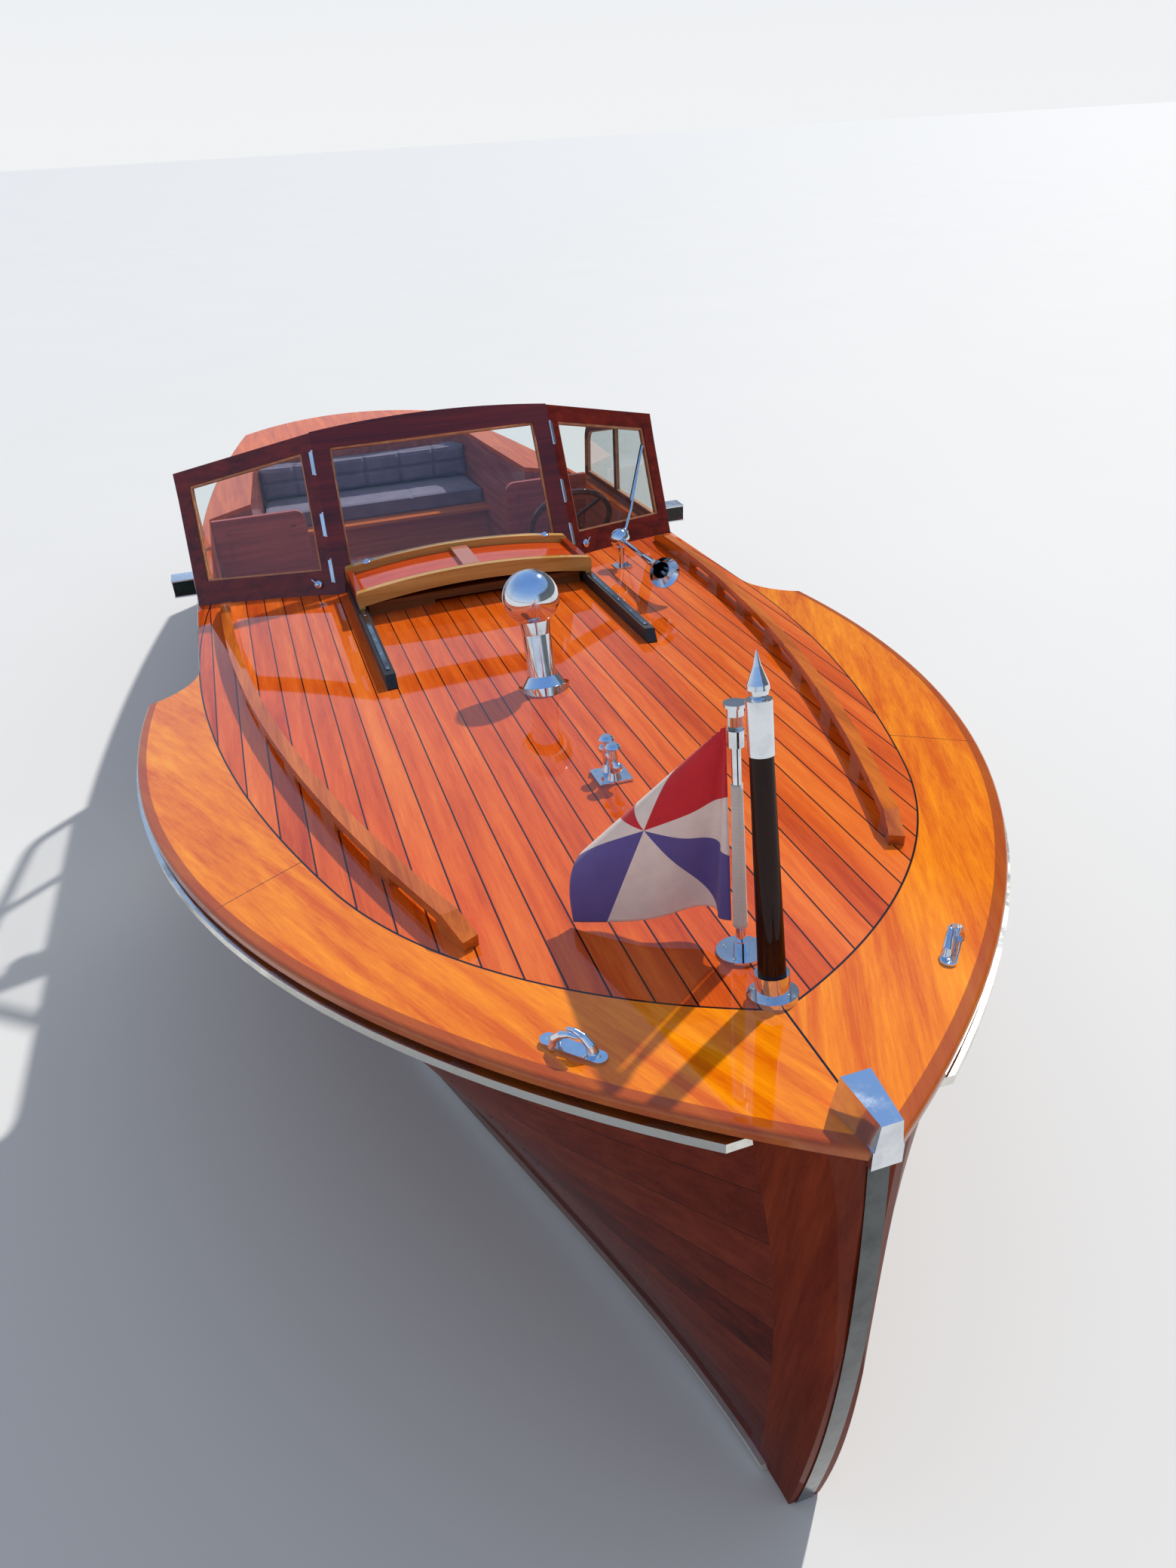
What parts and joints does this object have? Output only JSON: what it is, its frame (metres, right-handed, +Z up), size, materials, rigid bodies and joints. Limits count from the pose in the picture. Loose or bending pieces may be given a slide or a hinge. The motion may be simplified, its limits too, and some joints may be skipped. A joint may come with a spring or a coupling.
{
  "type": "classic open motor launch",
  "caption": "Varnished mahogany motor launch with a flared stepped foredeck, framed windscreen, sliding hatch, open cockpit and inboard engine.",
  "frame": {"origin": "on the waterline at the centreline, below the windscreen's outer feet", "axes": "+X towards the bow, +Y to port, +Z up"},
  "size_m": [6.638, 2.288, 2.4147],
  "materials": {
    "mahogany": "gloss varnish over dark reddish mahogany",
    "deck_planks": "gloss varnish over narrow pale planks with dark seams",
    "covering_board": "gloss varnish over honey-coloured mahogany",
    "pale_wood": "gloss varnish over pale ash",
    "dark_wood": "gloss varnish over dark stained wood",
    "bottom_paint": "matt dark red bottom paint",
    "sole_wood": "satin varnish",
    "chrome": "polished",
    "bronze": "worn bronze",
    "steel": "satin stainless",
    "black_rail": "satin black",
    "strip": "pale grey strip",
    "clear_glass": "clear",
    "lens_clear": "clear lens",
    "lens_red": "red lens",
    "lens_green": "green lens",
    "upholstery": "satin, dark blue grey",
    "engine_paint": "satin grey paint",
    "flag_cloth": "red, white and blue cloth"
  },
  "bodies": {
    "hull": {"hull_bottom": "bottom_paint", "topsides_port": "mahogany", "topsides_starboard": "mahogany", "transom": "mahogany", "stem": "mahogany", "keel": "bottom_paint", "stem_band": "chrome", "stem_cap": "chrome", "foredeck": "deck_planks", "covering_board_port": "covering_board", "covering_board_starboard": "covering_board", "side_decks": "covering_board", "rub_strips": "strip", "chine_strips": "strip", "cockpit_lining": "mahogany", "bulkhead": "mahogany", "cockpit_sole": "sole_wood", "bench": "mahogany", "bench_cushion": "upholstery", "backrest": "upholstery", "forward_seats": "mahogany", "forward_cushions": "upholstery", "helm_console": "mahogany", "steering_column": "chrome", "engine": "engine_paint", "engine_beds": "sole_wood", "engine_box": "mahogany", "shaft_bearings": "bronze", "windscreen_centre_frame": "mahogany", "windscreen_wings": "mahogany", "side_windows": "mahogany", "window_glass": "clear_glass", "hatch_rails": "black_rail", "hatch_coaming": "mahogany", "handrails": "mahogany", "cowl_vent": "chrome", "bollard": "chrome", "light_pole": "chrome", "light_lens": "lens_clear", "flag": "flag_cloth", "jackstaff": "dark_wood", "jackstaff_fittings": "chrome", "fairleads": "chrome", "horn": "chrome", "nav_lights": "chrome", "nav_lens_red": "lens_red", "nav_lens_green": "lens_green"},
    "hatch": {"hatch_frame": "pale_wood", "hatch_panel": "mahogany"},
    "wheel": {"steering_wheel": "mahogany"},
    "screw": {"propeller": "bronze", "propeller_shaft": "steel"},
    "rudder": {"rudder": "bronze"},
    "lid": {"engine_lid": "mahogany"}
  },
  "joints": [
    {"name": "hatch_slide", "type": "slide", "parent": "hull", "child": "hatch", "axis": [0.9988, 0, 0.0499], "range_m": [0, 0.5]},
    {"name": "wheel_turn", "type": "hinge", "parent": "hull", "child": "wheel", "pos_m": [-0.42, 0.64, 0.98], "axis": [-0.866, 0, 0.5], "range_deg": [-540, 540]},
    {"name": "rudder_turn", "type": "hinge", "parent": "hull", "child": "rudder", "pos_m": [-3.13, 0, -0.2], "axis": [0, 0, 1], "range_deg": [-35, 35]},
    {"name": "screw_turn", "type": "hinge", "parent": "hull", "child": "screw", "pos_m": [-1.5, 0, -0.2], "axis": [-0.9833, 0, -0.1821], "continuous": true},
    {"name": "lid_hinge", "type": "hinge", "parent": "hull", "child": "lid", "pos_m": [-0.682, 0, 0.5343], "axis": [0, 1, 0], "range_deg": [0, 80]}
  ],
  "couplings": [
    {"joint": "rudder_turn", "follows": "wheel_turn", "ratio": -0.064815}
  ]
}
